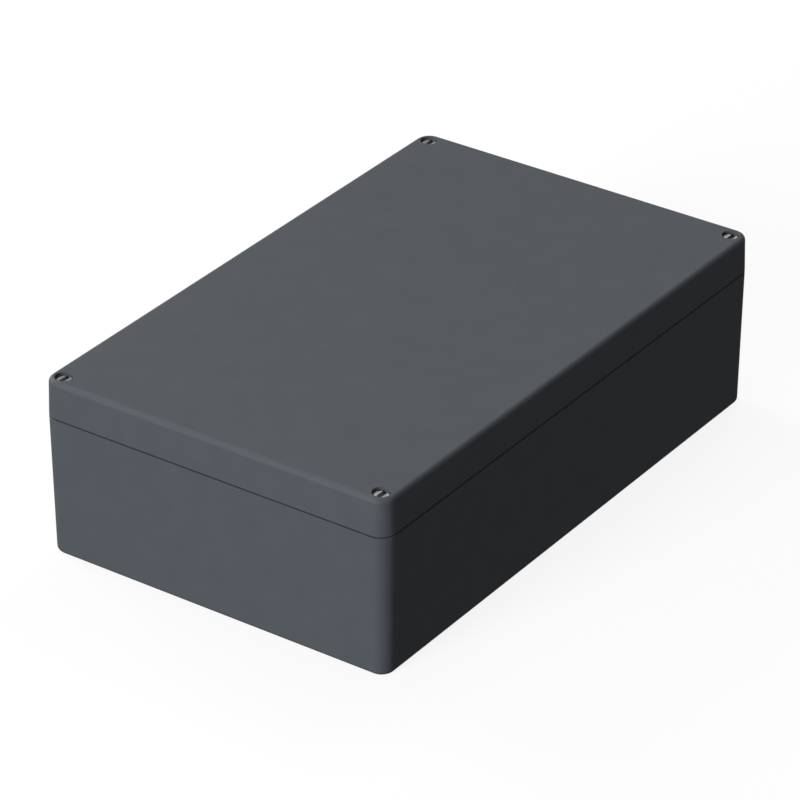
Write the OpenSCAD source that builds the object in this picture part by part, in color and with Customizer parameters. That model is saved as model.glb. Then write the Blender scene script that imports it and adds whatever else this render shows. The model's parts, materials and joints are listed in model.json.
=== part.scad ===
// Polyester enclosure with a screwed lid.
// A moulded base and a moulded lid meet at a tongue and groove with a gasket between them.
// Four captive screws in the corners hold the lid, and all fixings lie outside the seal.
// Origin at the bottom centre, length along X, width along Y, lid up. Sizes in mm.

/* [Overall size] */
// Length at the parting line
enclosure_length = 400; // [250:1:600]
// Width at the parting line
enclosure_width = 250; // [160:1:400]
// Height of base and lid together
enclosure_height = 120; // [80:1:200]
// Radius of the upright corners at the parting line
corner_radius = 10.6; // [7:0.1:11.5]

/* [Base] */
// Slope of the base walls, inward per mm of height
base_draft = 0.0145; // [0.005:0.0005:0.03]
// Radius of the bottom edge
bottom_edge_radius = 3.6; // [1:0.1:4.5]
// Radius of the outer edge of the base's rim
rim_edge_radius = 0.25; // [0.1:0.05:1]
// Thickness of the side walls
wall = 5; // [4:0.1:6]
// Thickness of the floor
floor_thickness = 5; // [4:0.1:7]
// Radius where the walls meet the floor
floor_radius = 4; // [2:0.5:6]
// Depth of a corner column along X, from the outside
column_depth_x = 22; // [20:0.5:30]
// Depth of a corner column along Y, from the outside
column_depth_y = 37; // [34:0.5:45]
// Radius of the inner corners
inner_corner_radius = 8.5; // [8.5:0.5:12]
// Radius of the inner edge of a column
column_edge_radius = 6; // [4:0.5:10]

/* [Lid] */
// Height of the lid from its lower edge to its top
lid_height = 24.8; // [23:0.1:40]
// Gap that shows between base and lid
parting_gap = 0.75; // [0.2:0.05:1]
// Slope of the lid walls, inward per mm of height
lid_draft = 0.029; // [0.005:0.001:0.04]
// Radius of the top edge
top_edge_radius = 3.3; // [1:0.1:3.5]
// Radius of the lid's lower edge
lid_edge_radius = 0.6; // [0.2:0.1:1]
// Thickness of the top
top_thickness = 4.5; // [3:0.1:6]
// Radius where the lid's walls meet its top, inside
ceiling_radius = 4; // [2:0.5:4.5]
// Radius of the pad under each corner of the lid
pad_radius = 7; // [6.5:0.1:8]

/* [Seal] */
// Thickness of the tongue on the base's rim
tongue_thickness = 1.8; // [1.2:0.1:2.4]
// Height of the tongue above the rim
tongue_height = 3; // [2:0.1:4]
// Gap on each side of the tongue in the groove
tongue_clearance = 0.6; // [0.3:0.1:0.8]
// Thickness of the wall inside the groove
groove_wall = 2.5; // [1.5:0.1:3]
// Height of the gasket
gasket_height = 3; // [2:0.1:5]
// Gap on each side of the gasket in the groove
gasket_clearance = 0.1; // [0.05:0.05:0.2]

/* [Lid screws] */
// Distance from a screw's axis to the outside, along X and along Y
screw_inset = 10; // [9.7:0.1:10.8]
// Diameter of the thread
screw_diameter = 5.9; // [5.3:0.1:5.9]
// How far the thread reaches below the base's rim
thread_engagement = 7.8; // [6:0.1:10]
// Chamfer at the end of the thread
tip_chamfer = 1; // [0.3:0.1:1.5]
// Diameter of the head
head_diameter = 9.4; // [8.5:0.1:10]
// Height of the head
head_height = 3.9; // [3:0.1:4.5]
// Radius of the head's upper edge
head_edge_radius = 0.5; // [0.2:0.1:1]
// Depth of the head below the lid's top
head_recess = 1.8; // [0.5:0.1:2.5]
// Gap around the head in its well
head_clearance = 0.9; // [0.4:0.1:1.1]
// Width of the screwdriver slot
slot_width = 3.2; // [1.2:0.1:3.6]
// Depth of the screwdriver slot
slot_depth = 2.5; // [1:0.1:2.7]
// Gap around the shank in the lid
shank_clearance = 0.35; // [0.2:0.05:0.5]

/* [Retaining rings] */
// Thickness of a ring
ring_thickness = 1.5; // [1:0.1:2]
// Outer diameter of a ring
ring_diameter = 10; // [9:0.1:10.4]
// Gap around a ring in its pocket
ring_pocket_clearance = 0.3; // [0.2:0.05:0.4]
// Diameter of the shank where the ring sits
ring_seat_diameter = 4.6; // [4:0.1:4.8]
// Gap between a ring and the shank, and above and below the ring
ring_clearance = 0.1; // [0.05:0.01:0.2]
// Height of a ring above the base's rim
ring_height = 1.2; // [0.8:0.1:2]

/* [Inserts] */
// Diameter of a lid screw's insert
screw_insert_diameter = 8.4; // [8:0.1:9]
// Length of a lid screw's insert
screw_insert_length = 12; // [10:0.5:20]
// Depth of a lid screw's insert below the base's rim
screw_insert_recess = 0.3; // [0:0.1:1]
// Gap around the thread in the insert
thread_clearance = 0.05; // [0.03:0.01:0.1]
// Diameter of a floor insert
floor_insert_diameter = 8; // [7:0.1:9]
// Length of a floor insert
floor_insert_length = 9; // [6:0.5:10]
// Bore of a floor insert
floor_insert_bore = 5; // [4:0.1:5.5]
// Gap around every insert
insert_clearance = 0.05; // [0.02:0.01:0.1]
// Depth of the grooves around every insert
insert_groove = 0.5; // [0.2:0.1:0.7]

/* [Wall fixing] */
// Distance from a fixing hole's axis to the outside, along X
fixing_inset_x = 10; // [9.5:0.1:11]
// Distance from a fixing hole's axis to the outside, along Y
fixing_inset_y = 25; // [22:0.5:27]
// Diameter of the fixing holes
fixing_hole_diameter = 7; // [5:0.1:8]
// Diameter of the channel above each fixing hole
fixing_channel_diameter = 12; // [10:0.1:12.5]
// Thickness of the bottom at each fixing hole
fixing_seat = 8; // [5:0.5:14]

/* [Floor bosses] */
// Distance from a mounting plate's boss to the outside, along X
plate_inset_x = 40; // [34:0.5:60]
// Distance from a mounting plate's boss to the outside, along Y
plate_inset_y = 25; // [18:0.5:40]
// Distance from a rail's boss to the outside, along X
rail_inset = 25; // [18:0.5:60]
// Height of a boss above the floor
boss_height = 8; // [7:0.5:20]
// Diameter of a boss at its top
boss_diameter = 13; // [12:0.5:16]
// Slope of a boss's side, outward per mm down
boss_draft = 0.08; // [0.02:0.01:0.15]

/* [Hidden] */
$fn = 64;
arc_steps = 6;
overlap = 1;
CORNERS = [
    ["front_left", -1, -1],
    ["front_right", 1, -1],
    ["back_left", -1, 1],
    ["back_right", 1, 1]
];
ENDS = [["left", -1], ["right", 1]];

// Half sizes of the outside at the parting line
half_length = enclosure_length / 2;
half_width = enclosure_width / 2;

// Heights from the bottom up
base_height = enclosure_height - lid_height - parting_gap;
lid_bottom = base_height + parting_gap;
tongue_top = base_height + tongue_height;
groove_top = tongue_top + gasket_height;
ceiling = enclosure_height - top_thickness;
head_top = enclosure_height - head_recess;
head_bottom = head_top - head_height;
screw_tip = base_height - thread_engagement;
screw_insert_top = base_height - screw_insert_recess;
screw_insert_bottom = screw_insert_top - screw_insert_length;
boss_top = floor_thickness + boss_height;

// A screw comes up until its thread is free, and then its ring stops it
screw_travel = thread_engagement + 2 * ring_clearance;
ring_bottom = base_height + ring_height;
ring_top = ring_bottom + ring_thickness;
ring_pocket_top = ring_top + screw_travel + 2 * ring_clearance;

// Half sizes of the space inside, at the top of the tongue
inner_x = half_length - wall;
inner_y = half_width - wall;
inner_column_x = half_length - column_depth_x;
inner_column_y = half_width - column_depth_y;

// Offsets from the seal's line
groove_outside = tongue_thickness + tongue_clearance;
groove_inside = -tongue_clearance;
lid_inside = groove_inside - groove_wall;

// Diameters of what goes around a screw, a ring and an insert
well_diameter = head_diameter + 2 * head_clearance;
screw_hole_diameter = screw_diameter + 2 * shank_clearance;
ring_pocket_diameter = ring_diameter + 2 * ring_pocket_clearance;
ring_bore = ring_seat_diameter + 2 * ring_clearance;
screw_insert_bore = screw_diameter + 2 * thread_clearance;
screw_insert_pocket = screw_insert_diameter + 2 * insert_clearance;
floor_insert_pocket = floor_insert_diameter + 2 * insert_clearance;

// Points on an arc
function arc(x, y, r, from, to) = [
    for (i = [0:arc_steps])
        let (a = from + (to - from) * i / arc_steps)
        [x + r * cos(a), y + r * sin(a)]
];

function backward(points) = [for (i = [len(points) - 1:-1:0]) points[i]];

function scaled(points, x, y) = [for (p = points) [x * p[0], y * p[1]]];

// One quarter of the line along which base and lid are sealed, moved outward by grow.
// It passes inside the corner columns, so screws and fixing holes stay outside the seal.
function seal_quarter(grow) =
    let (
        convex = inner_corner_radius,
        hollow = column_edge_radius
    )
    concat(
        arc(inner_x - convex, inner_column_y - convex, convex + grow, 0, 90),
        arc(inner_column_x + hollow, inner_column_y + hollow, hollow - grow, 270, 180),
        arc(inner_column_x - convex, inner_y - convex, convex + grow, 0, 90)
    );

function seal_line(grow) =
    let (quarter = seal_quarter(grow))
    concat(
        quarter,
        backward(scaled(quarter, -1, 1)),
        scaled(quarter, -1, -1),
        backward(scaled(quarter, 1, -1))
    );

// Section through a base wall, measured outward from the axis of a corner
function base_section() =
    let (
        slope = atan(base_draft),
        low = bottom_edge_radius,
        high = rim_edge_radius,
        low_x = corner_radius - base_draft * (base_height - low) - low / cos(slope),
        high_x = corner_radius - base_draft * high - high / cos(slope)
    )
    concat(
        [[0, 0]],
        arc(low_x, low, low, -90, -slope),
        arc(high_x, base_height - high, high, -slope, 90),
        [[0, base_height]]
    );

// Section through a lid wall, measured the same way
function lid_section() =
    let (
        slope = atan(lid_draft),
        low = lid_edge_radius,
        high = top_edge_radius,
        rise = enclosure_height - lid_bottom,
        low_x = corner_radius - lid_draft * low - low / cos(slope),
        high_x = corner_radius - lid_draft * (rise - high) - high / cos(slope)
    )
    concat(
        [[0, lid_bottom]],
        arc(low_x, lid_bottom + low, low, -90, slope),
        arc(high_x, enclosure_height - high, high, slope, 90),
        [[0, enclosure_height]]
    );

// A solid with the given wall section all around a rounded rectangle
module moulding(section) {
    axis_x = half_length - corner_radius;
    axis_y = half_width - corner_radius;
    bottom = section[0][1];
    top = section[len(section) - 1][1];
    translate([-axis_x, -axis_y, bottom])
        cube([2 * axis_x, 2 * axis_y, top - bottom]);
    for (turn = [0, 180]) {
        rotate([0, 0, turn])
            wall_run(section, axis_x, axis_y);
        rotate([0, 0, turn + 90])
            wall_run(section, axis_y, axis_x);
        rotate([0, 0, turn])
            translate([axis_x, axis_y, 0])
                rotate_extrude(angle = 90)
                    polygon(section);
        rotate([0, 0, turn])
            translate([-axis_x, axis_y, 0])
                rotate([0, 0, 90])
                    rotate_extrude(angle = 90)
                        polygon(section);
    }
}

// One straight wall of a moulding
module wall_run(section, out, half_run) {
    translate([out, half_run, 0])
        rotate([90, 0, 0])
            linear_extrude(2 * half_run)
                polygon(section);
}

// The space within the seal's line, from one height to another, as a stack of [grow, height] levels
module hollow(levels) {
    lines = [for (l = levels) seal_line(l[0])];
    count = len(lines[0]);
    last = len(levels) - 1;
    points = concat(
        [for (i = [0:last], p = lines[i]) [p[0], p[1], levels[i][1]]],
        [[0, 0, levels[0][1]], [0, 0, levels[last][1]]]
    );
    sides = [
        for (i = [0:last - 1], k = [0:count - 1])
            let (n = (k + 1) % count)
            [i * count + k, (i + 1) * count + k, (i + 1) * count + n, i * count + n]
    ];
    low_face = [
        for (k = [0:count - 1])
            [len(points) - 2, k, (k + 1) % count]
    ];
    high_face = [
        for (k = [0:count - 1])
            [len(points) - 1, last * count + (k + 1) % count, last * count + k]
    ];
    polyhedron(points, concat(sides, low_face, high_face));
}

// A flat ring that follows the seal's line
module seal_ring(inside, outside, bottom, top) {
    translate([0, 0, bottom])
        linear_extrude(top - bottom)
            difference() {
                polygon(seal_line(outside));
                polygon(seal_line(inside));
            }
}

module at_screw(corner) {
    translate([corner[1] * (half_length - screw_inset), corner[2] * (half_width - screw_inset), 0])
        children();
}

module at_fixing(corner) {
    translate([corner[1] * (half_length - fixing_inset_x), corner[2] * (half_width - fixing_inset_y), 0])
        children();
}

module at_plate_boss(corner) {
    translate([corner[1] * (half_length - plate_inset_x), corner[2] * (half_width - plate_inset_y), 0])
        children();
}

module at_rail_boss(end) {
    translate([end[1] * (half_length - rail_inset), 0, 0])
        children();
}

// A hole from one height to another
module bore(diameter, bottom, top) {
    translate([0, 0, bottom])
        cylinder(d = diameter, h = top - bottom);
}

// The space inside the base, with its wall slope and the radius at the floor
module base_space() {
    rise = tongue_top + overlap - floor_thickness;
    start = -base_draft * (rise - floor_radius);
    levels = concat(
        [
            for (p = arc(0, 0, floor_radius, -90, 0))
                [start - floor_radius + p[0], floor_thickness + floor_radius + p[1]]
        ],
        [[0, tongue_top + overlap]]
    );
    hollow(levels);
}

// The space inside the lid, with its wall slope and the radius at the top
module lid_space() {
    low = lid_bottom - overlap;
    end = lid_inside - lid_draft * (ceiling - ceiling_radius - low);
    levels = concat(
        [[lid_inside, low]],
        [
            for (p = arc(0, 0, ceiling_radius, 0, 90))
                [end - ceiling_radius + p[0], ceiling - ceiling_radius + p[1]]
        ]
    );
    hollow(levels);
}

module boss() {
    foot = boss_diameter + 2 * boss_draft * (boss_height + overlap);
    translate([0, 0, floor_thickness - overlap])
        cylinder(d1 = foot, d2 = boss_diameter, h = boss_height + overlap);
}

module boss_pocket() {
    bore(floor_insert_pocket, boss_top - floor_insert_length, boss_top + overlap);
}

module base() {
    color([0.29, 0.3, 0.33])
        difference() {
            union() {
                difference() {
                    union() {
                        moulding(base_section());
                        seal_ring(-overlap, tongue_thickness, base_height, tongue_top);
                    }
                    base_space();
                }
                for (corner = CORNERS)
                    at_plate_boss(corner)
                        boss();
                for (end = ENDS)
                    at_rail_boss(end)
                        boss();
            }
            for (corner = CORNERS) {
                at_screw(corner)
                    bore(screw_insert_pocket, screw_insert_bottom, base_height + overlap);
                at_fixing(corner)
                    bore(fixing_hole_diameter, -overlap, base_height);
                at_fixing(corner)
                    bore(fixing_channel_diameter, fixing_seat, base_height + overlap);
                at_plate_boss(corner)
                    boss_pocket();
            }
            for (end = ENDS)
                at_rail_boss(end)
                    boss_pocket();
        }
}

module lid() {
    color([0.29, 0.3, 0.33])
        difference() {
            union() {
                moulding(lid_section());
                for (corner = CORNERS)
                    at_screw(corner)
                        bore(2 * pad_radius, base_height, lid_bottom + overlap);
            }
            lid_space();
            seal_ring(groove_inside, groove_outside, base_height - overlap, groove_top);
            for (corner = CORNERS)
                at_screw(corner) {
                    bore(well_diameter, head_bottom, enclosure_height + overlap);
                    bore(screw_hole_diameter, base_height - overlap, head_bottom + overlap);
                    bore(ring_pocket_diameter, base_height - overlap, ring_pocket_top);
                }
        }
}

module gasket() {
    inside = groove_inside + gasket_clearance;
    outside = groove_outside - gasket_clearance;
    color([0.1, 0.1, 0.11])
        seal_ring(inside, outside, tongue_top, groove_top);
}

// A captive screw: slotted head, shank, seat for the ring, thread with a tapered tip
module lid_screw() {
    r = screw_diameter / 2;
    head_r = head_diameter / 2;
    seat_r = ring_seat_diameter / 2;
    seat_low = ring_bottom - ring_clearance;
    seat_high = ring_top + ring_clearance;
    edge = head_edge_radius;
    section = concat(
        [
            [0, screw_tip],
            [r - tip_chamfer, screw_tip],
            [r, screw_tip + tip_chamfer],
            [r, seat_low],
            [seat_r, seat_low],
            [seat_r, seat_high],
            [r, seat_high],
            [r, head_bottom],
            [head_r, head_bottom]
        ],
        arc(head_r - edge, head_top - edge, edge, 0, 90),
        [[0, head_top]]
    );
    color([0.68, 0.69, 0.7])
        difference() {
            rotate_extrude()
                polygon(section);
            translate([-head_r - overlap, -slot_width / 2, head_top - slot_depth])
                cube([2 * (head_r + overlap), slot_width, slot_depth + overlap]);
        }
}

module retaining_ring() {
    color([0.86, 0.86, 0.82])
        difference() {
            bore(ring_diameter, ring_bottom, ring_top);
            bore(ring_bore, ring_bottom - overlap, ring_top + overlap);
        }
}

// A threaded insert with two grooves around it that lock it in the moulding
module insert(diameter, hole, length, top) {
    r = diameter / 2;
    step = length / 7;
    waist = r - insert_groove;
    bottom = top - length;
    color([0.72, 0.57, 0.26])
        rotate_extrude()
            polygon([
                [hole / 2, bottom],
                [r, bottom],
                [r, bottom + 2 * step],
                [waist, bottom + 2 * step],
                [waist, bottom + 3 * step],
                [r, bottom + 3 * step],
                [r, bottom + 4 * step],
                [waist, bottom + 4 * step],
                [waist, bottom + 5 * step],
                [r, bottom + 5 * step],
                [r, top],
                [hole / 2, top]
            ]);
}

module screw_insert() {
    insert(screw_insert_diameter, screw_insert_bore, screw_insert_length, screw_insert_top);
}

module floor_insert() {
    insert(floor_insert_diameter, floor_insert_bore, floor_insert_length, boss_top);
}

base();
lid();
gasket();
for (c = CORNERS) {
    at_screw(c) lid_screw();
    at_screw(c) retaining_ring();
    at_screw(c) screw_insert();
    at_plate_boss(c) floor_insert();
}
for (e = ENDS)
    at_rail_boss(e) floor_insert();
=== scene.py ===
import json
import math

import bmesh
import bpy
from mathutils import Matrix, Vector


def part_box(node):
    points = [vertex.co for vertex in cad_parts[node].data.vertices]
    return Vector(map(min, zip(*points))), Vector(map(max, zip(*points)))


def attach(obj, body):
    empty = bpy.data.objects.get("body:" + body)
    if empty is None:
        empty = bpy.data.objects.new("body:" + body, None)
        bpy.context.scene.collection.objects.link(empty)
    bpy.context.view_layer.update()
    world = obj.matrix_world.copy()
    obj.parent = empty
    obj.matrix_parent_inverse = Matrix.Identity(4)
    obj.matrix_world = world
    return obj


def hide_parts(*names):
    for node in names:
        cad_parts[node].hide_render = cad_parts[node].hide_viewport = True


# A polyester enclosure: base, lid with captive screws, seal and brass inserts.
# Each piece is one closed skin that stands for a CAD node and adds its small edges and threads.

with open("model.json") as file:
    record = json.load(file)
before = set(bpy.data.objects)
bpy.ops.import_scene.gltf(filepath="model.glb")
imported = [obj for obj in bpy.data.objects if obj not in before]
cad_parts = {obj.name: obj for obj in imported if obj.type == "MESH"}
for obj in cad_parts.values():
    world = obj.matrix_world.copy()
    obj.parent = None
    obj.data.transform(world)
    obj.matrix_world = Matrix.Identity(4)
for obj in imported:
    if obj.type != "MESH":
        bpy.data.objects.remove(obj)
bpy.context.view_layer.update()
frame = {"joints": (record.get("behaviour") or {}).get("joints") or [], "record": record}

MM = 0.001
CORNERS = ("front_left", "front_right", "back_left", "back_right")
ENDS = ("left", "right")

# What the frame says
_, base_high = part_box("base")
lid_low, lid_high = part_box("lid")
gasket_low, gasket_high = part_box("gasket")
screw_low, screw_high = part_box("lid_screw_front_left")
ring_low, ring_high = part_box("retaining_ring_front_left")
screw_insert_low, screw_insert_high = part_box("screw_insert_front_left")
floor_insert_low, floor_insert_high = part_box("plate_insert_front_left")
joints = {joint["name"]: joint for joint in frame["joints"]}
mounts = {mount["name"]: mount for mount in frame["record"]["mounts"]}
wall_fixing = mounts["wall_fixing"]["dims"]
plate_bosses = mounts["plate_bosses"]["dims"]

# Half sizes at the parting line, to the millimetre
HALF_X = round(base_high.x, 3)
HALF_Y = round(base_high.y, 3)

# Heights
TOP = lid_high.z
RIM = lid_low.z
TONGUE_TOP = base_high.z
GROOVE_TOP = gasket_high.z
HEAD_TOP = screw_high.z
SCREW_TIP = screw_low.z
BOSS_TOP = floor_insert_high.z

# The two mouldings
CORNER_RADIUS = 10.6 * MM
BASE_DRAFT = 0.0145
LID_DRAFT = 0.029
BOTTOM_EDGE = 3.6 * MM
TOP_EDGE = 3.3 * MM
RIM_EDGE = 0.25 * MM
LID_EDGE = 0.6 * MM
SMALL_EDGE = 0.4 * MM
PARTING_GAP = 0.75 * MM
LID_BOTTOM = RIM + PARTING_GAP
WALL = 5 * MM
FLOOR = 5 * MM
FLOOR_RADIUS = 4 * MM
TOP_THICKNESS = 4.5 * MM
CEILING = TOP - TOP_THICKNESS
CEILING_RADIUS = 4 * MM
COLUMN_X = 22 * MM
COLUMN_Y = 37 * MM
INNER_RADIUS = 8.5 * MM
COLUMN_RADIUS = 6 * MM
DRAFT_OVERLAP = 1 * MM

# The seal, measured outward from its line
TONGUE = 1.8 * MM
TONGUE_CLEARANCE = 0.6 * MM
GROOVE_OUT = TONGUE + TONGUE_CLEARANCE
GROOVE_IN = -TONGUE_CLEARANCE
GROOVE_WALL = 2.5 * MM
GASKET_GAP = 0.1 * MM
GASKET_EDGE = 0.35 * MM

# Screws and rings
SCREW_RADIUS = 2.95 * MM
THREAD_DEPTH = 0.5 * MM
PITCH = 1 * MM
HEAD_RADIUS = (screw_high.x - screw_low.x) / 2
HEAD_HEIGHT = 3.9 * MM
HEAD_EDGE = 0.5 * MM
SLOT_WIDTH = 3.2 * MM
SLOT_DEPTH = 2.5 * MM
SLOT_FLOOR = HEAD_TOP - SLOT_DEPTH
TURNED_EDGE = 0.2 * MM
SCREW_TRAVEL = joints["screw_lift_front_left"]["range_m"][1]
RING_RADIUS = (ring_high.x - ring_low.x) / 2
RING_SEAT_RADIUS = 2.3 * MM
RING_GAP = 0.1 * MM
RING_EDGE = 0.3 * MM

# Inserts
SCREW_INSERT_RADIUS = (screw_insert_high.x - screw_insert_low.x) / 2
SCREW_INSERT_BORE = 3 * MM
FLOOR_INSERT_RADIUS = (floor_insert_high.x - floor_insert_low.x) / 2
FLOOR_INSERT_BORE = plate_bosses["hole_r_mm"] * MM
INSERT_GAP = 0.05 * MM
INSERT_GROOVE = 0.5 * MM
INSERT_THREAD = 0.3 * MM
INSERT_CHAMFER = 0.4 * MM
KNURL_DEPTH = 0.2 * MM
KNURL_MARGIN = 0.6 * MM

# Holes and bosses
WELL_RADIUS = 5.6 * MM
WELL_EDGE = 0.2 * MM
WELL_FLOOR = HEAD_TOP - HEAD_HEIGHT
SCREW_HOLE_RADIUS = 3.3 * MM
RING_POCKET_RADIUS = 5.3 * MM
RING_POCKET_TOP = ring_high.z + SCREW_TRAVEL + 2 * RING_GAP
PAD_RADIUS = 7 * MM
FIXING_X = wall_fixing["spacing_x_mm"] / 2 * MM
FIXING_Y = wall_fixing["spacing_y_mm"] / 2 * MM
FIXING_RADIUS = wall_fixing["hole_r_mm"] * MM
FIXING_SEAT = 8 * MM
CHANNEL_RADIUS = 6 * MM
BOSS_RADIUS = 6.5 * MM
BOSS_DRAFT = 0.08
BOSS_FOOT = 1.5 * MM

# How finely round stretches are divided
CORNER_STEPS = 14
SEAL_STEPS = 10
LARGE_EDGE_STEPS = 10
EDGE_STEPS = 6
SMALL_EDGE_STEPS = 4
HOLE_POINTS = 48
HEAD_STEPS = 24
KNURLS = 32
KNURL_POINTS = 3
THREAD_STEPS = 10

# An insert's length in steps, where its bands and grooves begin and end
INSERT_STEPS = 7

# How shading runs over edges: softer ones are smooth, and large faces set the normals there
SMOOTH_ANGLE = math.radians(33)
FAVOUR_LARGE_FACES = 100

# Noise seldom leaves these limits, so colours spread between them
NOISE_LOW = 0.3
NOISE_HIGH = 0.7

# The studio, in metres
FLOOR_REACH = 40.0
DOME_RADIUS = 15.0
LIGHT_DISTANCE = 5.0


# Outlines: lists of (x, y) points

def middle(node):
    """The centre of a CAD node, seen from above."""
    low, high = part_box(node)
    return (low.x + high.x) / 2, (low.y + high.y) / 2


def spread(start, end, steps):
    """Evenly spaced values, both ends included."""
    return [start + (end - start) * i / steps for i in range(steps + 1)]


def arc(x, y, radius, start, end, steps):
    """Points on an arc, angles in degrees."""
    turns = [math.radians(a) for a in spread(start, end, steps)]
    return [(x + radius * math.cos(a), y + radius * math.sin(a)) for a in turns]


def polar(centre, radii, angles):
    """Points around a centre, each at its own radius and angle."""
    x, y = centre
    return [(x + r * math.cos(a), y + r * math.sin(a)) for r, a in zip(radii, angles)]


def circle(centre, radius, points=HOLE_POINTS):
    """Evenly spaced points around a centre."""
    return arc(*centre, radius, 0, 360 - 360 / points, points - 1)


def outside(inset):
    """The enclosure's outline, moved inward."""
    x = HALF_X - CORNER_RADIUS
    y = HALF_Y - CORNER_RADIUS
    radius = CORNER_RADIUS - inset
    corners = ((x, y, 0), (-x, y, 90), (-x, -y, 180), (x, -y, 270))
    return [p for cx, cy, a in corners for p in arc(cx, cy, radius, a, a + 90, CORNER_STEPS)]


def seal_line(grow):
    """The line along which base and lid are sealed, moved outward. It passes inside the columns."""
    x, y = HALF_X - WALL, HALF_Y - WALL
    column_x, column_y = HALF_X - COLUMN_X, HALF_Y - COLUMN_Y
    convex, hollow = INNER_RADIUS, COLUMN_RADIUS
    quarter = arc(x - convex, column_y - convex, convex + grow, 0, 90, SEAL_STEPS)
    quarter += arc(column_x + hollow, column_y + hollow, hollow - grow, 270, 180, SEAL_STEPS)
    quarter += arc(column_x - convex, y - convex, convex + grow, 0, 90, SEAL_STEPS)
    line = []
    for side_x, side_y in ((1, 1), (-1, 1), (-1, -1), (1, -1)):
        part = [(side_x * px, side_y * py) for px, py in quarter]
        line += part if side_x * side_y > 0 else part[::-1]
    return line


# Sections: lists of (across, height), where across is an inset, an outward shift or a radius

def rounded(across, z, radius, start, end, steps=SMALL_EDGE_STEPS):
    """A rounded edge in a section, around its centre."""
    return arc(across, z, radius, start, end, steps)


def base_section():
    """The base's outside from its bottom edge to its rim, as (inset, height)."""
    slope = math.atan(BASE_DRAFT)
    turn = 180 + math.degrees(slope)
    low = BASE_DRAFT * (RIM - BOTTOM_EDGE) + BOTTOM_EDGE / math.cos(slope)
    high = BASE_DRAFT * RIM_EDGE + RIM_EDGE / math.cos(slope)
    section = rounded(low, BOTTOM_EDGE, BOTTOM_EDGE, 270, turn, LARGE_EDGE_STEPS)
    return section + rounded(high, RIM - RIM_EDGE, RIM_EDGE, turn, 90)


def lid_section():
    """The lid's outside from its lower edge to its top, as (inset, height)."""
    slope = math.atan(LID_DRAFT)
    turn = 180 - math.degrees(slope)
    low = LID_DRAFT * LID_EDGE + LID_EDGE / math.cos(slope)
    high = LID_DRAFT * (TOP - LID_BOTTOM - TOP_EDGE) + TOP_EDGE / math.cos(slope)
    section = rounded(low, LID_BOTTOM + LID_EDGE, LID_EDGE, 270, turn, EDGE_STEPS)
    return section + rounded(high, TOP - TOP_EDGE, TOP_EDGE, turn, 90, LARGE_EDGE_STEPS)


# Levels: lists of (outline, height)

def mouth(centre, radius, z, edge, down=True):
    """The rounded rim of a round hole in a flat face, from the face into the hole."""
    if down:
        section = rounded(radius + edge, z - edge, edge, 90, 180)
    else:
        section = rounded(radius + edge, z + edge, edge, 270, 180)
    return [(circle(centre, r), height) for r, height in section]


def hole(centre, radius, *heights):
    """A round hole's rings at the given heights."""
    return [(circle(centre, radius), z) for z in heights]


def turned(centre, angles, *section):
    """Rings of a turned piece with points at the given angles."""
    return [(polar(centre, [r] * len(angles), angles), z) for r, z in section]


class Skin:
    """The closed skin of one piece, built ring by ring."""

    def __init__(self):
        self.bm = bmesh.new()

    def ring(self, outline, z):
        """New points along an outline, at one height."""
        return [self.bm.verts.new((x, y, z)) for x, y in outline]

    def band(self, low, high):
        """Joins two rings with as many points each."""
        for i in range(len(low)):
            n = (i + 1) % len(low)
            self.bm.faces.new((low[i], low[n], high[n], high[i]))

    def stack(self, levels, start=None):
        """Joins levels to rings, after a ring that exists if one is given. Returns both end rings."""
        rings = [start] if start else []
        rings += [self.ring(outline, z) for outline, z in levels]
        for low, high in zip(rings, rings[1:]):
            self.band(low, high)
        return rings[0], rings[-1]

    def tube(self, levels):
        """A stack whose last ring joins its first."""
        first, last = self.stack(levels)
        self.band(last, first)

    def cap(self, ring):
        """Closes a ring with one face."""
        self.bm.faces.new(ring)

    def plate(self, *rings):
        """Fills the flat space between rings: the first is its edge, the others are holes."""
        edges = []
        for ring in rings:
            for a, b in zip(ring, ring[1:] + ring[:1]):
                edge = self.bm.edges.get((a, b)) or self.bm.edges.new((a, b))
                edges.append(edge)
        bmesh.ops.triangle_fill(self.bm, edges=edges, use_beauty=True)

    def repaint(self, index, chosen):
        """Gives the faces whose centres are chosen another of the piece's materials."""
        for face in self.bm.faces:
            if chosen(face.calc_center_median()):
                face.material_index = index

    def piece(self, name, materials, body, node):
        """Turns the skin into a piece that stands for a CAD node and rides on a body."""
        bmesh.ops.recalc_face_normals(self.bm, faces=self.bm.faces)
        mesh = bpy.data.meshes.new(name)
        self.bm.to_mesh(mesh)
        self.bm.free()
        mesh.shade_smooth()
        mesh.set_sharp_from_angle(angle=SMOOTH_ANGLE)
        for material in materials:
            mesh.materials.append(material)
        obj = bpy.data.objects.new(name, mesh)
        bpy.context.scene.collection.objects.link(obj)
        normals = obj.modifiers.new("even_normals", "WEIGHTED_NORMAL")
        normals.keep_sharp = True
        normals.weight = FAVOUR_LARGE_FACES
        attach(obj, body)
        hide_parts(node)


# Materials

def grey(value):
    """A colour without a hue."""
    return (value, value, value)


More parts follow.
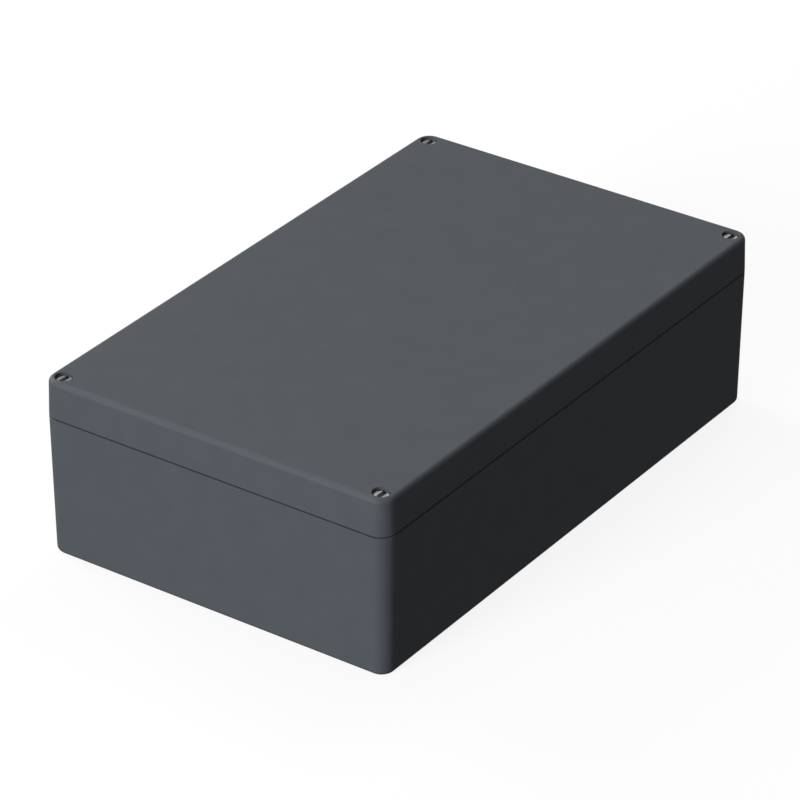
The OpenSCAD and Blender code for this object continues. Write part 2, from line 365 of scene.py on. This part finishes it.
class Finish:
    """A procedural material, with helpers that add nodes to it."""

    def __init__(self, name):
        self.material = bpy.data.materials.new(name)
        self.material.use_nodes = True
        self.nodes = self.material.node_tree.nodes
        self.link = self.material.node_tree.links.new
        self.sockets = self.nodes["Principled BSDF"].inputs

    def add(self, kind, **values):
        """Adds a node and sets its inputs."""
        node = self.nodes.new(kind)
        for key, value in values.items():
            node.inputs[key].default_value = value
        return node

    def noise(self, width, detail=2.0):
        """Noise whose lumps are about that wide."""
        coordinates = self.add("ShaderNodeTexCoord")
        texture = self.add("ShaderNodeTexNoise", Scale=1 / width, Detail=detail)
        self.link(coordinates.outputs["Object"], texture.inputs["Vector"])
        return texture.outputs["Fac"]

    def ramp(self, source, low, high):
        """Colours or greys between low and high that follow the source."""
        scale = self.add("ShaderNodeValToRGB")
        first, last = scale.color_ramp.elements
        first.position = NOISE_LOW
        last.position = NOISE_HIGH
        first.color = (*low, 1)
        last.color = (*high, 1)
        self.link(source, scale.inputs["Fac"])
        return scale.outputs["Color"]

    def bump(self, source, depth, strength=1.0, under=None):
        """A relief that follows the source, on top of another relief if one is given."""
        node = self.add("ShaderNodeBump", Strength=strength, Distance=depth)
        self.link(source, node.inputs["Height"])
        if under:
            self.link(under, node.inputs["Normal"])
        return node.outputs["Normal"]

    def feed(self, socket, source):
        """Lets a node's output set one of the shader's sockets."""
        self.link(source, self.sockets[socket])

    def fix(self, socket, value):
        """Sets one of the shader's sockets to the same value all over."""
        self.sockets[socket].default_value = value


def polyester():
    """Dark grey moulded polyester: faint clouding and a fine satin skin."""
    finish = Finish("polyester")
    cloud = finish.noise(width=18 * MM, detail=3)
    colour = finish.ramp(cloud, low=(0.054, 0.061, 0.07), high=(0.058, 0.065, 0.074))
    sheen = finish.ramp(finish.noise(width=2.5 * MM), low=grey(0.54), high=grey(0.62))
    grain = finish.bump(finish.noise(width=0.6 * MM, detail=3), depth=0.06 * MM)
    peel = finish.bump(finish.noise(width=3 * MM), depth=0.02 * MM, strength=0.5, under=grain)
    finish.feed("Base Color", colour)
    finish.feed("Roughness", sheen)
    finish.feed("Normal", peel)
    finish.fix("Specular IOR Level", 0.15)
    return finish.material


def seal():
    """Matt black elastomer."""
    finish = Finish("seal")
    colour = finish.ramp(finish.noise(width=1.5 * MM), low=grey(0.011), high=grey(0.02))
    grain = finish.bump(finish.noise(width=0.25 * MM), depth=0.03 * MM)
    finish.feed("Base Color", colour)
    finish.feed("Normal", grain)
    finish.fix("Roughness", 0.75)
    return finish.material


def metal(name, dull, bright, roughness, bare=1.0):
    """Turned metal with fine tool marks. What isn't bare has a dull film on it."""
    finish = Finish(name)
    tarnish = finish.noise(width=0.8 * MM, detail=4)
    marks = finish.noise(width=0.12 * MM)
    uneven = 0.06
    polish = finish.ramp(marks, low=grey(roughness - uneven), high=grey(roughness + uneven))
    finish.feed("Base Color", finish.ramp(tarnish, low=dull, high=bright))
    finish.feed("Roughness", polish)
    finish.feed("Normal", finish.bump(marks, depth=0.01 * MM))
    finish.fix("Metallic", bare)
    return finish.material


def nylon():
    """Natural nylon, a little waxy."""
    finish = Finish("nylon")
    colour = finish.ramp(finish.noise(width=2 * MM), low=(0.62, 0.6, 0.52), high=(0.7, 0.69, 0.61))
    grain = finish.bump(finish.noise(width=0.3 * MM), depth=0.02 * MM)
    finish.feed("Base Color", colour)
    finish.feed("Normal", grain)
    finish.fix("Roughness", 0.45)
    finish.fix("Subsurface Weight", 0.15)
    finish.fix("Subsurface Scale", 1 * MM)
    return finish.material


POLYESTER = polyester()
SEAL = seal()
STEEL = metal("steel", dull=grey(0.52), bright=grey(0.62), roughness=0.3)
# The slot's steel is rougher, as sawn. Its colour is also painted darker: painted shade in the slot.
SAWN_STEEL_PAINTED_SHADE = metal("sawn_steel_painted_shade", dull=grey(0.24), bright=grey(0.32), roughness=0.6, bare=0.4)
NYLON = nylon()
BRASS = metal("brass", dull=(0.5, 0.33, 0.12), bright=(0.63, 0.45, 0.19), roughness=0.32)


# The base

def fixing_hole(skin, centre):
    """A wall fixing hole and the channel above it. Returns its rings in the bottom and the rim."""
    narrow = mouth(centre, FIXING_RADIUS, 0, SMALL_EDGE, down=False)
    narrow += hole(centre, FIXING_RADIUS, FIXING_SEAT)
    wide = hole(centre, CHANNEL_RADIUS, FIXING_SEAT)
    wide += mouth(centre, CHANNEL_RADIUS, RIM, SMALL_EDGE)[::-1]
    return skin.stack(narrow + wide)


def insert_pocket(skin, centre):
    """The pocket of a lid screw's insert. Returns its ring in the rim."""
    radius = SCREW_INSERT_RADIUS + INSERT_GAP
    levels = mouth(centre, radius, RIM, SMALL_EDGE / 2) + hole(centre, radius, screw_insert_low.z)
    top, end = skin.stack(levels)
    skin.cap(end)
    return top


def boss(skin, centre):
    """A floor boss with the pocket of its insert. Returns its ring in the floor."""
    foot = BOSS_RADIUS + BOSS_DRAFT * (BOSS_TOP - FLOOR) + BOSS_FOOT
    lean = math.degrees(math.atan(BOSS_DRAFT))
    section = rounded(foot, FLOOR + BOSS_FOOT, BOSS_FOOT, 270, 180 + lean)
    section += rounded(BOSS_RADIUS - SMALL_EDGE, BOSS_TOP - SMALL_EDGE, SMALL_EDGE, lean, 90)
    levels = [(circle(centre, r), z) for r, z in section]
    pocket = hole(centre, FLOOR_INSERT_RADIUS + INSERT_GAP, BOSS_TOP, floor_insert_low.z)
    low, end = skin.stack(levels + pocket)
    skin.cap(end)
    return low


def tongue_and_walls(skin):
    """The sealing tongue and the inside walls. Returns the rings at the rim and at the floor."""
    edge = SMALL_EDGE
    section = [(TONGUE, RIM)]
    section += rounded(TONGUE - edge, TONGUE_TOP - edge, edge, 0, 90)
    section += rounded(edge, TONGUE_TOP - edge, edge, 90, 180)
    slope_end = -BASE_DRAFT * (TONGUE_TOP + DRAFT_OVERLAP - FLOOR - FLOOR_RADIUS)
    across, z = slope_end - FLOOR_RADIUS, FLOOR + FLOOR_RADIUS
    section += rounded(across, z, FLOOR_RADIUS, 0, -90, EDGE_STEPS)
    return skin.stack([(seal_line(grow), z) for grow, z in section])


def base_piece():
    """The base with its columns, tongue, bosses and holes."""
    skin = Skin()
    x, y = FIXING_X, FIXING_Y
    fixings = [fixing_hole(skin, centre) for centre in ((-x, -y), (x, -y), (-x, y), (x, y))]
    pockets = [insert_pocket(skin, middle(f"lid_screw_{corner}")) for corner in CORNERS]
    feet = [boss(skin, middle(f"plate_insert_{corner}")) for corner in CORNERS]
    feet += [boss(skin, middle(f"rail_insert_{end}")) for end in ENDS]
    bottom, rim = skin.stack([(outside(inset), z) for inset, z in base_section()])
    tongue, floor = tongue_and_walls(skin)
    skin.plate(bottom, *[low for low, high in fixings])
    skin.plate(rim, tongue, *[high for low, high in fixings], *pockets)
    skin.plate(floor, *feet)
    skin.piece("base_shell", [POLYESTER], "base", "base")


# The lid

def screw_well(skin, centre):
    """A screw's well, hole and ring pocket. Returns its rings in the top and around the pad."""
    levels = mouth(centre, WELL_RADIUS, TOP, WELL_EDGE)
    levels += hole(centre, WELL_RADIUS, WELL_FLOOR)
    levels += hole(centre, SCREW_HOLE_RADIUS, WELL_FLOOR, RING_POCKET_TOP)
    levels += hole(centre, RING_POCKET_RADIUS, RING_POCKET_TOP, RIM)
    levels += hole(centre, PAD_RADIUS, RIM, LID_BOTTOM)
    return skin.stack(levels)


def groove_and_ceiling(skin):
    """The groove and the lid's inside. Returns the rings at the lower edge and at the ceiling."""
    edge = SMALL_EDGE
    inside = GROOVE_IN - GROOVE_WALL
    section = [(GROOVE_OUT, LID_BOTTOM), (GROOVE_OUT, GROOVE_TOP), (GROOVE_IN, GROOVE_TOP)]
    section += rounded(GROOVE_IN - edge, LID_BOTTOM + edge, edge, 0, -90)
    section += rounded(inside + edge, LID_BOTTOM + edge, edge, 270, 180)
    rise = CEILING - CEILING_RADIUS - LID_BOTTOM + DRAFT_OVERLAP
    across, z = inside - LID_DRAFT * rise - CEILING_RADIUS, CEILING - CEILING_RADIUS
    section += rounded(across, z, CEILING_RADIUS, 0, 90, EDGE_STEPS)
    return skin.stack([(seal_line(grow), z) for grow, z in section])


def lid_piece():
    """The lid with its screw wells, corner blocks and groove."""
    skin = Skin()
    wells = [screw_well(skin, middle(f"lid_screw_{corner}")) for corner in CORNERS]
    skirt, top = skin.stack([(outside(inset), z) for inset, z in lid_section()])
    groove, ceiling = groove_and_ceiling(skin)
    skin.plate(top, *[high for high, low in wells])
    skin.plate(skirt, groove, *[low for high, low in wells])
    skin.plate(ceiling)
    skin.piece("lid_shell", [POLYESTER], "lid", "lid")


# The gasket

def gasket_piece():
    """A strip that fills the groove, rounded where it bulges past the tongue."""
    skin = Skin()
    edge = GASKET_EDGE
    low = gasket_low.z
    out, into = GROOVE_OUT - GASKET_GAP, GROOVE_IN + GASKET_GAP
    section = [(out, GROOVE_TOP)]
    section += rounded(out - edge, low + edge, edge, 0, -90)
    section += rounded(into + edge, low + edge, edge, 270, 180)
    section += [(into, GROOVE_TOP)]
    skin.tube([(seal_line(grow), z) for grow, z in section])
    skin.piece("gasket_strip", [SEAL], "lid", "gasket")


# Screws, rings and inserts

def tooth(along):
    """The height of a thread, 0 to 1, along one pitch: a narrow crest, two flanks, a flat root."""
    crest, flank = 0.14, 0.36
    if along < crest:
        return 1.0
    if along < crest + flank:
        return 1 - (along - crest) / flank
    return max(0.0, (along - 1 + flank) / flank)


def thread(centre, angles, root, crest, start, end, fade):
    """Rings of a right-hand thread that fades out at both ends."""
    levels = []
    for z in spread(start, end, round((end - start) / PITCH * THREAD_STEPS)):
        height = (crest - root) * max(0.0, min(1.0, (z - start) / fade, (end - z) / fade))
        radii = [root + height * tooth((z / PITCH - a / math.tau) % 1) for a in angles]
        levels.append((polar(centre, radii, angles), z))
    return levels


def screw_cheek(skin, centre, lower, side):
    """One half of a screw's head above the slot's floor, with its upper edges rounded."""
    levels = []
    start_z = HEAD_TOP - HEAD_EDGE
    for radius, z in rounded(HEAD_RADIUS - HEAD_EDGE, start_z, HEAD_EDGE, 0, 90, EDGE_STEPS):
        rise = (z - start_z) / HEAD_EDGE
        rounding = TURNED_EDGE * (1 - math.sqrt(max(0.0, 1 - rise ** 2)))
        start = math.asin((SLOT_WIDTH / 2 + rounding) / radius)
        angles = spread(start, math.pi - start, HEAD_STEPS)
        levels += turned(centre, angles, (side * radius, z))
    skin.cap(skin.stack(levels, lower)[1])


def screw_piece(corner):
    """A slotted screw: thread, seat for the ring, shank and head."""
    skin = Skin()
    node = f"lid_screw_{corner}"
    centre = middle(node)
    half_slot = math.asin(SLOT_WIDTH / 2 / HEAD_RADIUS)
    cheek = spread(half_slot, math.pi - half_slot, HEAD_STEPS)
    angles = cheek + [math.pi] + [a + math.pi for a in cheek] + [math.tau]
    edge = TURNED_EDGE
    root = SCREW_RADIUS - THREAD_DEPTH
    thread_start = SCREW_TIP + THREAD_DEPTH
    seat_low = ring_low.z - RING_GAP
    seat_high = ring_high.z + RING_GAP

    levels = turned(centre, angles, (root - THREAD_DEPTH, SCREW_TIP))
    levels += thread(centre, angles, root, SCREW_RADIUS, thread_start, seat_low - edge, PITCH)
    levels += turned(
        centre,
        angles,
        (root, seat_low),
        (RING_SEAT_RADIUS, seat_low),
        (RING_SEAT_RADIUS, seat_high),
        (SCREW_RADIUS - edge, seat_high),
        (SCREW_RADIUS, seat_high + edge),
        (SCREW_RADIUS, WELL_FLOOR),
        (HEAD_RADIUS - edge, WELL_FLOOR),
        (HEAD_RADIUS, WELL_FLOOR + edge),
        (HEAD_RADIUS, SLOT_FLOOR),
    )
    tip, slot_ring = skin.stack(levels)
    skin.cap(tip)

    # The slot's floor, with a cheek on each side of it
    count = len(cheek)
    back, front = slot_ring[:count], slot_ring[count + 1:-1]
    left_end, right_end = slot_ring[count], slot_ring[-1]
    skin.cap([back[-1], left_end, front[0], front[-1], right_end, back[0]])
    screw_cheek(skin, centre, back, 1)
    screw_cheek(skin, centre, front, -1)

    def in_slot(point):
        across = abs(point.y - centre[1])
        return point.z > SLOT_FLOOR - edge / 2 and across < SLOT_WIDTH / 2 + edge / 2

    # The slot's faces take the darker steel, which paints shade into the slot.
    materials = [STEEL, SAWN_STEEL_PAINTED_SHADE]
    skin.repaint(materials.index(SAWN_STEEL_PAINTED_SHADE), in_slot)
    skin.piece(f"slotted_{node}", materials, f"screw_{corner}", node)


def ring_piece(corner):
    """A retaining ring with rounded edges."""
    skin = Skin()
    node = f"retaining_ring_{corner}"
    centre = middle(node)
    edge = RING_EDGE
    low, high = ring_low.z, ring_high.z
    bore = RING_SEAT_RADIUS + RING_GAP
    section = rounded(RING_RADIUS - edge, low + edge, edge, -90, 0)
    section += rounded(RING_RADIUS - edge, high - edge, edge, 0, 90)
    section += rounded(bore + edge, high - edge, edge, 90, 180)
    section += rounded(bore + edge, low + edge, edge, 180, 270)
    skin.tube([(circle(centre, r), z) for r, z in section])
    skin.piece(f"washer_{node}", [NYLON], f"ring_{corner}", node)


def insert_piece(node, radius, bore):
    """A brass insert: three knurled bands and two grooves outside, a thread inside."""
    skin = Skin()
    centre = middle(node)
    low, high = (corner.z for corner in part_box(node))
    angles = spread(0, math.tau, KNURLS * KNURL_POINTS)[:-1]
    chamfer = INSERT_CHAMFER
    root = bore + INSERT_THREAD
    waist = radius - INSERT_GROOVE
    step = (high - low) / INSERT_STEPS
    lower_groove = (low + 2 * step, low + 3 * step)
    upper_groove = (low + 4 * step, low + 5 * step)

    def smooth(*section):
        return turned(centre, angles, *section)

    def knurled(*heights):
        valley = radius - KNURL_DEPTH
        radii = [radius if i % KNURL_POINTS else valley for i in range(len(angles))]
        return [(polar(centre, radii, angles), z) for z in heights]

    levels = smooth((root + chamfer, low), (radius - chamfer, low), (radius, low + chamfer))
    levels += knurled(low + KNURL_MARGIN, lower_groove[0])
    levels += smooth(*[(waist, z) for z in lower_groove])
    levels += knurled(lower_groove[1], upper_groove[0])
    levels += smooth(*[(waist, z) for z in upper_groove])
    levels += knurled(upper_groove[1], high - KNURL_MARGIN)
    levels += smooth((radius, high - chamfer), (radius - chamfer / 2, high), (root + chamfer, high))
    levels += thread(centre, angles, root, bore, low + chamfer, high - chamfer, PITCH / 2)[::-1]
    skin.tube(levels)
    skin.piece(f"threaded_{node}", [BRASS], "base", node)


base_piece()
lid_piece()
gasket_piece()
for corner in CORNERS:
    screw_piece(corner)
    ring_piece(corner)
    insert_piece(f"screw_insert_{corner}", SCREW_INSERT_RADIUS, SCREW_INSERT_BORE)
    insert_piece(f"plate_insert_{corner}", FLOOR_INSERT_RADIUS, FLOOR_INSERT_BORE)
for end in ENDS:
    insert_piece(f"rail_insert_{end}", FLOOR_INSERT_RADIUS, FLOOR_INSERT_BORE)


# Floor, light and camera

def direction(azimuth, elevation):
    """The way out from the enclosure, angles in degrees. Azimuth 0 is the front."""
    turn, rise = math.radians(azimuth), math.radians(elevation)
    return Vector((math.sin(turn) * math.cos(rise), -math.cos(turn) * math.cos(rise), math.sin(rise)))


def aim(obj, target, away, distance):
    """Puts a light or camera in the scene, looking at the target."""
    obj.location = target + distance * away
    obj.rotation_euler = (-away).to_track_quat("-Z", "Y").to_euler()
    bpy.context.scene.collection.objects.link(obj)


def stage(name, mesh, paper, glow):
    """A pale surface that the camera sees but that throws no light on the enclosure."""
    finish = Finish(f"{name}_paper")
    finish.material.cycles.emission_sampling = "NONE"
    finish.fix("Base Color", (*grey(paper), 1))
    finish.fix("Roughness", 0.9)
    finish.fix("Specular IOR Level", 0.0)
    finish.fix("Emission Color", (*grey(1.0), 1))
    finish.fix("Emission Strength", glow)
    mesh.materials.append(finish.material)
    obj = bpy.data.objects.new(name, mesh)
    obj.visible_diffuse = False
    obj.visible_glossy = False
    bpy.context.scene.collection.objects.link(obj)
    return obj


def ground():
    """A wide sheet of white paper that glows a little, so that it stays pale."""
    reach = FLOOR_REACH
    mesh = bpy.data.meshes.new("floor")
    corners = [(-reach, -reach, 0), (reach, -reach, 0), (reach, reach, 0), (-reach, reach, 0)]
    mesh.from_pydata(corners, [], [(0, 1, 2, 3)])
    stage("floor", mesh, paper=0.1, glow=0.875)


def backdrop():
    """A dome beyond the lights, so that a low view shows no horizon."""
    dome = bmesh.new()
    bmesh.ops.create_icosphere(dome, subdivisions=4, radius=DOME_RADIUS)
    mesh = bpy.data.meshes.new("backdrop")
    dome.to_mesh(mesh)
    dome.free()
    stage("backdrop", mesh, paper=0.0, glow=0.91).visible_shadow = False


def area_light(name, azimuth, elevation, size, level):
    """A soft round light. Level is what a white surface that faces it would show."""
    data = bpy.data.lights.new(name, "AREA")
    data.shape = "DISK"
    data.size = size
    data.energy = level * math.pi ** 2 * LIGHT_DISTANCE ** 2
    obj = bpy.data.objects.new(name, data)
    obj.visible_camera = False
    aim(obj, Vector((0, 0, TOP / 2)), direction(azimuth, elevation), LIGHT_DISTANCE)


def lights():
    """Two low lights for the left end and the back, and a high one for the top and the right end."""
    area_light("left", azimuth=-97, elevation=20, size=2.0, level=1.33)
    area_light("back", azimuth=170, elevation=27, size=3.0, level=0.86)
    area_light("right", azimuth=102, elevation=52, size=2.5, level=0.3)


def sky():
    """Even grey light from all around, weaker from below the horizon."""
    world = bpy.data.worlds.new("studio")
    world.use_nodes = True
    nodes = world.node_tree.nodes
    link = world.node_tree.links.new
    coordinates = nodes.new("ShaderNodeTexCoord")
    split = nodes.new("ShaderNodeSeparateXYZ")
    shade = nodes.new("ShaderNodeValToRGB")
    below, above = shade.color_ramp.elements
    below.position = 0.0
    above.position = 0.05
    below.color = (*grey(0.17), 1)
    above.color = (*grey(0.28), 1)
    link(coordinates.outputs["Generated"], split.inputs["Vector"])
    link(split.outputs["Z"], shade.inputs["Fac"])
    link(shade.outputs["Color"], nodes["Background"].inputs["Color"])
    bpy.context.scene.world = world
    bpy.context.scene.view_settings.view_transform = "Standard"


def camera():
    """The photograph's view, from above the front left corner."""
    target = Vector((7.6, 10.5, 45.0)) * MM
    distance = 2.744
    focal_pixels = 4423
    picture_pixels = 800
    data = bpy.data.cameras.new("camera")
    data.sensor_width = 36
    data.lens = focal_pixels * data.sensor_width / picture_pixels
    data.clip_end = 100
    obj = bpy.data.objects.new("camera", data)
    aim(obj, target, direction(azimuth=-55, elevation=30), distance)
    bpy.context.scene.camera = obj


ground()
backdrop()
lights()
sky()
camera()
